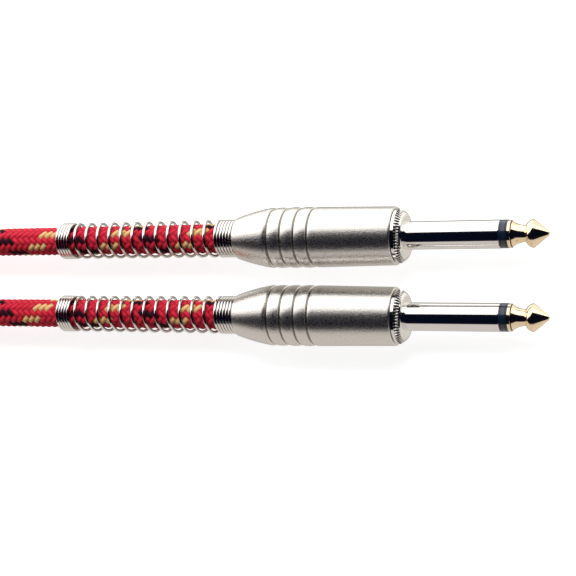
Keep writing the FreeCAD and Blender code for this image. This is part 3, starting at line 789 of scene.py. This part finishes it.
WIRE_RADIUS, WIRE_SIDES = 0.36, 12
SPRING_RADIUS, FLARE_RADIUS = 4.125, 4.47
SPRING_FRONT, SPRING_REAR = 6.05, -47.52
OPEN_START = -3.9
CLOSE_PITCH, OPEN_PITCH = 0.76, 3.2
OPEN_TURNS, FLARE_TURNS = 12.4, 1.8
PITCH_BLEND = 0.6
SPRING_STEPS = 40  # points a turn


def spring_path(plug):
    """The wire's line: close turns flared in the barrel, open turns, and a close-wound free end."""
    close_turns = (SPRING_FRONT - OPEN_START) / CLOSE_PITCH
    open_end = close_turns + OPEN_TURNS
    points, turns, station = [], 0.0, SPRING_FRONT
    while station > SPRING_REAR:
        angle = 2 * math.pi * turns
        settled = smooth_step((turns - FLARE_TURNS) / PITCH_BLEND)
        radius = (FLARE_RADIUS + (SPRING_RADIUS - FLARE_RADIUS) * settled) * MM
        points.append((BARREL_REAR + station * MM, AXIS[plug].y - radius * math.cos(angle),
                       AXIS[plug].z + radius * math.sin(angle)))
        openness = smooth_step((turns - close_turns) / PITCH_BLEND)
        openness *= 1 - smooth_step((turns - open_end) / PITCH_BLEND)
        station -= (CLOSE_PITCH + (OPEN_PITCH - CLOSE_PITCH) * openness) / SPRING_STEPS
        turns += 1 / SPRING_STEPS
    return np.array(points)


def make_spring(plug, material):
    """The strain relief spring as a round wire, its rings kept square to the helix."""
    path = spring_path(plug)
    tangent = unit(np.gradient(path, axis=0))
    out = unit((path - np.array(AXIS[plug])) * (0.0, 1.0, 1.0))
    side = unit(np.cross(tangent, out))
    points = tube_points(path, side, np.cross(side, tangent), WIRE_RADIUS * MM, WIRE_SIDES)
    spring = add_mesh(f"spring_wire_{plug}", points, ring_faces([WIRE_SIDES] * len(path)), material,
                      f"spring_{plug}", sharp=60)
    around = np.tile(np.arange(WIRE_SIDES) / WIRE_SIDES, len(path))
    along = np.repeat(np.arange(len(path)) / SPRING_STEPS, WIRE_SIDES)
    lay_uvs(spring.data, np.stack([around, along], axis=1))
    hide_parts(f"relief_spring_{plug}")


CORE_ROUTE = [(24.7, 0.0), (25.9, 0.0), (27.3, -1.0), (30.4, -1.0)]
CORE_RADIUS, SCREEN_RADIUS = 0.55, 0.8
OUTER_STRANDS = 6  # around a straight one
STRAND_RINGS, STRAND_SIDES, STRAND_TURNS = 40, 8, 1.4
STRAND_REACH, STRAND_RADIUS = 0.64, 0.35  # shares of the bundle's radius


def bundle(name, plug, route, radius, material):
    """Seven twisted strands along a route of (station, height) points from the plug's axis."""
    y, z = AXIS[plug].y / MM, AXIS[plug].z / MM
    dense = spline_points([(BARREL_REAR / MM + station, y, z + height) for station, height in route])
    path = resample(dense, np.linspace(0, line_length(dense), STRAND_RINGS))
    side, up = path_frames(path)
    points, faces = [], []
    for strand in range(OUTER_STRANDS + 1):
        turns = strand / OUTER_STRANDS + STRAND_TURNS * np.arange(STRAND_RINGS) / STRAND_RINGS
        lay = 2 * math.pi * turns[:, None]
        reach = STRAND_REACH * radius * MM if strand < OUTER_STRANDS else 0.0
        centre = path + reach * (np.cos(lay) * side + np.sin(lay) * up)
        points.append(tube_points(centre, side, up, STRAND_RADIUS * radius * MM, STRAND_SIDES))
        start = STRAND_RINGS * STRAND_SIDES * strand
        faces += [tuple(start + p for p in face) for face in ring_faces([STRAND_SIDES] * STRAND_RINGS)]
    return add_mesh(name, np.concatenate(points), faces, material, "root", sharp=60)


def make_conductors(plug, material):
    """The stripped strands of the core, bent down to the tip's tag, and the twisted screen."""
    core = bundle(f"core_strands_{plug}", plug, CORE_ROUTE, CORE_RADIUS, material)
    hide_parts(f"centre_conductor_{plug}")
    low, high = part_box(f"shield_pigtail_{plug}")
    height = ((low.z + high.z) / 2 - AXIS[plug].z) / MM
    rear, front = (low.x - BARREL_REAR) / MM, (high.x - BARREL_REAR) / MM
    route = [(station, height) for station in (rear, (rear + front) / 2, front)]
    screen = bundle(f"screen_strands_{plug}", plug, route, SCREEN_RADIUS, material)
    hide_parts(f"shield_pigtail_{plug}")


def dress(node, material):
    """Give a carried-over CAD node a finish."""
    materials = frame["nodes"][node].data.materials
    if not len(materials):
        materials.append(material)
    for index in range(len(materials)):
        materials[index] = material


NICKEL = polished_nickel()
SPRING_STEEL = spring_nickel()
SATIN = satin_nickel()
GOLD = gold_plate()
BLACK = black_plastic()
COPPER = plain_metal("copper", (0.62, 0.27, 0.15), (0.88, 0.47, 0.31), 0.28, 1800.0)
INNER_FINISHES = {
    "core_insulator": BLACK,
    "rear_washer": plain_plastic("fibre_washer", (0.16, 0.05, 0.022), (0.30, 0.11, 0.05), 0.75, 2600.0),
    "tip_lug": plain_metal("tinned_brass", (0.60, 0.575, 0.50), (0.78, 0.76, 0.70), 0.24),
    "tip_solder": plain_metal("solder", (0.55, 0.56, 0.57), (0.80, 0.81, 0.82), 0.2, 1600.0),
    "insulating_sleeve": plain_plastic("black_sleeve", (0.010, 0.010, 0.012), (0.022, 0.022, 0.026), 0.42),
    "cable_core": plain_plastic("core_insulation", (0.66, 0.64, 0.60), (0.80, 0.79, 0.75), 0.4),
}
INNER_FINISHES["ground_lug"] = INNER_FINISHES["tip_lug"]
INNER_FINISHES["ground_solder"] = INNER_FINISHES["tip_solder"]
for plug_number in PLUGS:
    for inner_part, finish in INNER_FINISHES.items():
        dress(f"{inner_part}_{plug_number}", finish)
    make_conductors(plug_number, COPPER)
    make_tip(plug_number, GOLD)
    make_ring(plug_number, BLACK)
    make_sleeve(plug_number, NICKEL)
    make_barrel(plug_number, SATIN)
    make_spring(plug_number, SPRING_STEEL)


# ---- the hank's tie ----

TIE_WIDTH, TIE_THICKNESS = 16.0, 1.05
TIE_GAP = 0.1  # between strap and cable
TIE_LOW = LAYER_HEIGHT / 2 + TIE_LIFT  # height of the outer column's lowest run inside the strap
TIE_HIGH = TIE_LOW + (LAYERS - 1) * LAYER_HEIGHT
TIE_STEPPED = LAYER_HEIGHT / 2  # how much higher the inner column's runs are there
TIE_START, TIE_END = 17.0, 9.0  # heights where the strap starts and where its tail ends, on the outer side
TIE_STEP = 0.5
LAP_GAP, LAP_LEAD, LAP_RAMP = 0.05, 5.0, 4.0  # how the tail climbs over the strap's start
TAIL_CURL, CURL_LENGTH = 0.5, 3.0
TAIL_TAPER, TAPER_LENGTH = 0.28, 2.5
STRAP_UNDERSIDE = [
    (-1.0, -0.5), (-0.985, -1.0), (-0.5, -1.0), (0.0, -1.0), (0.5, -1.0), (0.985, -1.0), (1.0, -0.5),
]  # (across, depth) as shares of half the width and half the thickness
SELVAGE_EDGE, SEAM_LINE, SEAM_HALF = 6.9, 6.3, 0.22


def strap_line():
    """(place, outward) in y and z along the strap: down the outer side, round, and over its start."""
    reach = CABLE_DIAMETER / MM / 2 + TIE_GAP + TIE_THICKNESS / 2
    outer_low, outer_high = Vector((-OUTER_FOLD, TIE_LOW)), Vector((-OUTER_FOLD, TIE_HIGH))
    inner_low = Vector((-INNER_FOLD, TIE_LOW + TIE_STEPPED))
    inner_high = Vector((-INNER_FOLD, TIE_HIGH + TIE_STEPPED))
    order = [outer_low, inner_low, inner_high, outer_high, outer_low]
    centre = sum(order[1:], Vector((0, 0))) / 4
    edges = []
    for here, there in zip(order, order[1:]):
        way = (there - here).normalized()
        out = Vector((way.y, -way.x))
        if out.dot(here - centre) < 0:
            out = -out
        edges.append((here, there, out))
    before = edges[-1][2]
    line = [(Vector((-OUTER_FOLD, z)), before) for z in np.arange(TIE_START, outer_low.y, -TIE_STEP)]
    for here, there, out in edges:
        turn = before.angle_signed(out)
        bends = max(2, round(abs(turn) * reach / TIE_STEP))
        line += [(here, Matrix.Rotation(-turn * k / bends, 2) @ before) for k in range(bends + 1)]
        last = here is order[-2]
        run = (there - here).length - (TIE_END - there.y if last else 0.0)
        steps = round(run / TIE_STEP)
        line += [(here + (there - here).normalized() * run * k / steps, out) for k in range(1, steps)]
        before = out
    return line, reach


def make_tie(material):
    """A woven hook-and-loop strap round one side of the hank, its tail pressed over its start."""
    line, reach = strap_line()
    places = [place + out * reach for place, out in line]
    steps = [0.0] + [(there - here).length for here, there in zip(places, places[1:])]
    travelled = np.cumsum(steps)
    total = travelled[-1]
    lap = total - (TIE_START - TIE_END)
    low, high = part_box("cable_tie")
    middle = (low.x + high.x) / 2
    half, thin = TIE_WIDTH / 2 * MM, TIE_THICKNESS / 2 * MM
    section = STRAP_UNDERSIDE + [(-across, -depth) for across, depth in STRAP_UNDERSIDE]
    points, uvs = [], []
    for (_, out), here, way in zip(line, places, travelled):
        rise = (TIE_THICKNESS + LAP_GAP) * smooth_step((way - lap + LAP_LEAD) / LAP_RAMP)
        rise += TAIL_CURL * smooth_step((way - total + CURL_LENGTH) / CURL_LENGTH) ** 2
        narrow = 1 - TAIL_TAPER * smooth_step((way - total + TAPER_LENGTH) / TAPER_LENGTH) ** 3
        y, z = (here.x + out.x * rise) * MM, (here.y + out.y * rise) * MM
        for across, depth in section:
            x = middle + across * half * narrow
            points.append((x, y + out.x * depth * thin, z + out.y * depth * thin))
            uvs.append((across * half * narrow / MM, way))
    faces = ring_faces([len(section)] * len(line))
    tie = add_mesh("hook_and_loop_strap", points, faces, material, "root", sharp=50)
    lay_uvs(tie.data, np.array(uvs), wraps=False)
    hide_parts("cable_tie")
    return tie


def strap_cloth():
    """Black woven tape: fine ribs across, a stitched selvage at each edge and a fuzz of loops."""
    paint = Paint("tie_strap", (0.012, 0.012, 0.014), 0.85, Sheen_Weight=0.12, Sheen_Roughness=0.5,
                  Specular_IOR_Level=0.2)
    across, along = paint.place("UV")[:2]

    def wave(value, length):
        return paint.math("SINE", paint.times(value, 2 * math.pi / length))

    weave = paint.math("MULTIPLY_ADD", paint.times(wave(along, 0.8), wave(across, 0.6)), 0.5, 0.5)
    from_middle = paint.math("ABSOLUTE", across)
    selvage = paint.math("GREATER_THAN", from_middle, SELVAGE_EDGE)
    stitch = paint.math("GREATER_THAN", wave(along, 2.4), 0.2)
    seam = paint.math("LESS_THAN", paint.apart(from_middle, SEAM_LINE), SEAM_HALF)
    stitches = paint.times(seam, stitch)
    fuzz = paint.noise(2400.0, 3.0)
    cloth = paint.mix(fuzz, (0.004, 0.004, 0.006), (0.022, 0.022, 0.026))
    cloth = paint.mix(selvage, cloth, (0.018, 0.018, 0.021))
    paint.set("Base Color", paint.mix(stitches, cloth, (0.055, 0.055, 0.062)))
    relief = paint.math("ADD", paint.times(weave, 0.5), paint.math("ADD", fuzz, stitches))
    paint.bump(relief, 0.0002, 0.5)
    return paint.material


TIE = make_tie(strap_cloth())


# ---- floor and light ----

WHITE_FROM, WHITE_TO = 20.0, 128.0  # degrees from straight up towards +Y
GREY_FROM, GREY_TO = -59.0, -150.0
GREY_LEAN = 60.0  # degrees that the grey side's upper edge sinks straight ahead of the plugs
DARK, GREY, WHITE = (0.002, 0.003, 0.010), (0.66, 0.614, 0.578), (1.65, 1.63, 1.60)
RIM = (0.46, 0.45, 0.43)
CREAM_HIGH, CREAM_LOW = (1.10, 1.06, 0.96), (0.72, 0.68, 0.63)
SLOPE, SHIFT = 0.303, 0.116  # the studio's sides are measured from y = SLOPE * x + SHIFT
AHEAD_FROM, AHEAD_LIFT = 0.5, 0.44  # from which x directions count as higher, and by how much
FLOOR_HALF = 2.5
KEY_PLACE, KEY_WIDTH, KEY_HEIGHT, KEY_POWER = (0.05, 0.45, 0.5), 0.5, 0.3, 4.5


def make_floor():
    """A plain pale floor that glows, so that its shadows stay faint. Metal reflects the studio instead."""
    paint = Paint("floor", (0.5, 0.5, 0.5), 0.9)
    paint.set("Emission Color", (1.0, 1.0, 1.0, 1))
    paint.set("Emission Strength", 0.85)
    mesh = bpy.data.meshes.new("floor")
    corners = [(FLOOR_HALF * x, FLOOR_HALF * y, 0) for x, y in ((-1, -1), (1, -1), (1, 1), (-1, 1))]
    mesh.from_pydata(corners, [], [(0, 1, 2, 3)])
    mesh.materials.append(paint.material)
    floor = bpy.data.objects.new("floor", mesh)
    floor.visible_glossy = False
    bpy.context.scene.collection.objects.link(floor)


def make_soft_light(name, place, width, height, power):
    """A broad area light aimed at the plugs, which lights cloth and plastic but leaves no highlight."""
    data = bpy.data.lights.new(name, "AREA")
    data.shape = "RECTANGLE"
    data.size, data.size_y = width, height
    data.energy = power
    light = bpy.data.objects.new(name, data)
    light.location = place
    light.rotation_euler = (Vector(place) - VIEW_TARGET).to_track_quat("Z", "Y").to_euler()
    light.visible_camera = light.visible_glossy = False
    bpy.context.scene.collection.objects.link(light)


def make_studio():
    """What polished metal sees: a broad white side, a dimmer grey side and a dark gap overhead.

    The gap leans towards the white side in front of the plugs, and below there the studio is cream.
    """
    world = bpy.data.worlds.new("studio")
    bpy.context.scene.world = world
    world.use_nodes = True
    graph = Graph(world.node_tree)
    x, y, z = graph.place("Generated")
    across = graph.math("SUBTRACT", y, graph.math("MULTIPLY_ADD", x, SLOPE, SHIFT))
    ahead = graph.math("MAXIMUM", graph.math("SUBTRACT", x, AHEAD_FROM), 0.0)
    height = graph.math("MULTIPLY_ADD", ahead, AHEAD_LIFT, z)
    lowered = graph.math("MULTIPLY_ADD", ahead, -GREY_LEAN, GREY_FROM)
    turn = graph.math("DEGREES", graph.math("ARCTAN2", across, height))
    colour = graph.mix(graph.rise(turn, GREY_TO - 8, GREY_TO + 8), RIM, GREY)
    past_grey = graph.math("SUBTRACT", turn, lowered)
    colour = graph.mix(graph.rise(past_grey, -3.0, 3.0), colour, DARK)
    colour = graph.mix(graph.rise(turn, WHITE_FROM - 2, WHITE_FROM + 2), colour, WHITE)
    colour = graph.mix(graph.rise(turn, WHITE_TO - 6, WHITE_TO + 6), colour, RIM)
    below = graph.times(graph.rise(x, 0.0, 0.3), graph.rise(z, -0.05, -0.3))
    cream = graph.mix(graph.rise(across, -0.2, 0.2), CREAM_LOW, CREAM_HIGH)
    colour = graph.mix(below, colour, cream)
    seen = graph.add("ShaderNodeLightPath").outputs["Is Camera Ray"]
    background = graph.add("ShaderNodeBackground")
    graph.put(background.inputs[0], graph.mix(seen, colour, (1.0, 1.0, 1.0)))
    graph.put(graph.add("ShaderNodeOutputWorld").inputs[0], background.outputs[0])


make_floor()
make_studio()
make_soft_light("key", KEY_PLACE, KEY_WIDTH, KEY_HEIGHT, KEY_POWER)
bpy.context.scene.view_settings.view_transform = "Standard"
